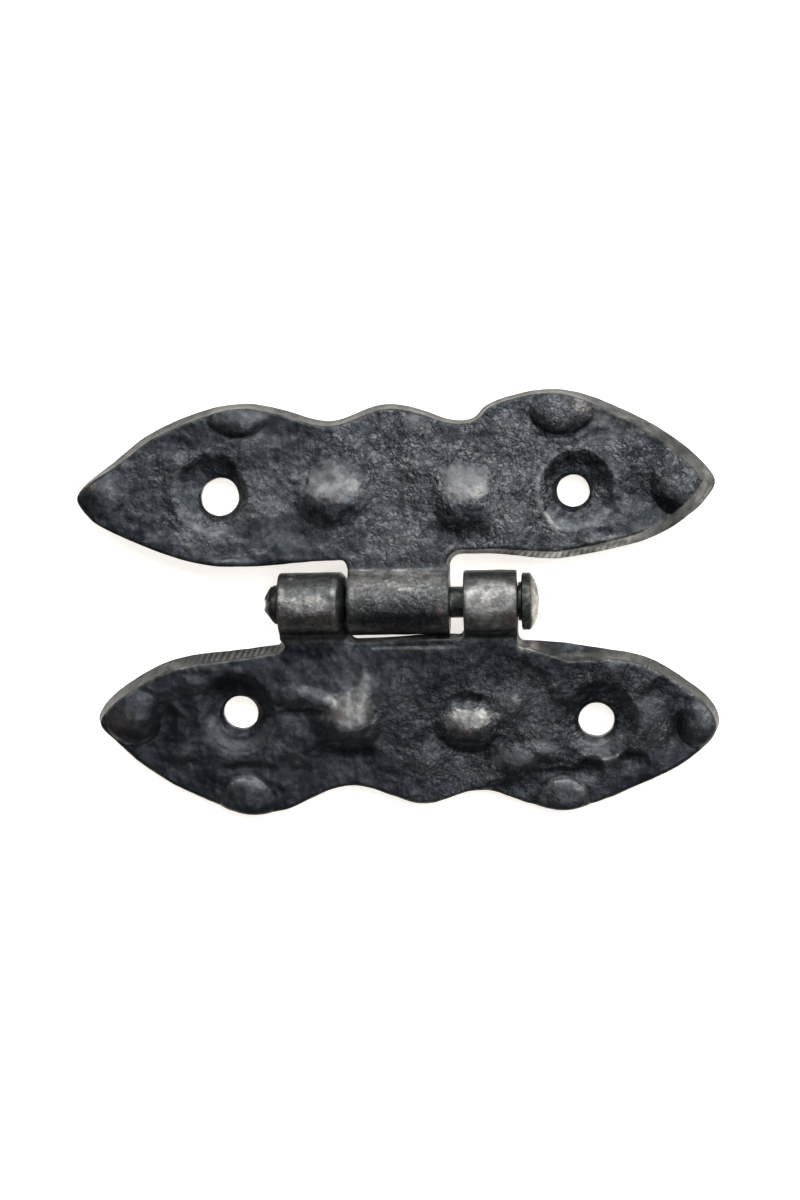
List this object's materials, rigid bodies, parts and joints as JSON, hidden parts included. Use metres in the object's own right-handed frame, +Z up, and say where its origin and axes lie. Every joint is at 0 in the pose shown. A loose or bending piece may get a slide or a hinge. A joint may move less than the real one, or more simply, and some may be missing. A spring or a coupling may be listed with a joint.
{
  "type": "decorative hinge",
  "caption": "Hammered iron butterfly hinge: lobed leaves with raised studs and countersunk screw holes, turning on a riveted pin in rolled knuckles.",
  "frame": {"origin": "on the table under the pin's axis, at the middle of the hinge's length", "axes": "+X along the pin towards its round head, +Y across towards the leaf with one knuckle, +Z up, out of the leaves' faces"},
  "size_m": [0.0807, 0.0534, 0.0081],
  "materials": {
    "leaf_iron": "blackened and hammered, rough, with a dull sheen on the high spots",
    "pin_iron": "blackened, slightly smoother than the leaves, worn at the edges"
  },
  "bodies": {
    "lower": {"lower_leaf": "leaf_iron", "rivet_pin": "pin_iron"},
    "upper": {"upper_leaf": "leaf_iron"}
  },
  "joints": [
    {"name": "leaf_turn", "type": "hinge", "parent": "lower", "child": "upper", "pos_m": [0, 0, 0.00403], "axis": [1, 0, 0], "range_deg": [-152, 155]}
  ]
}
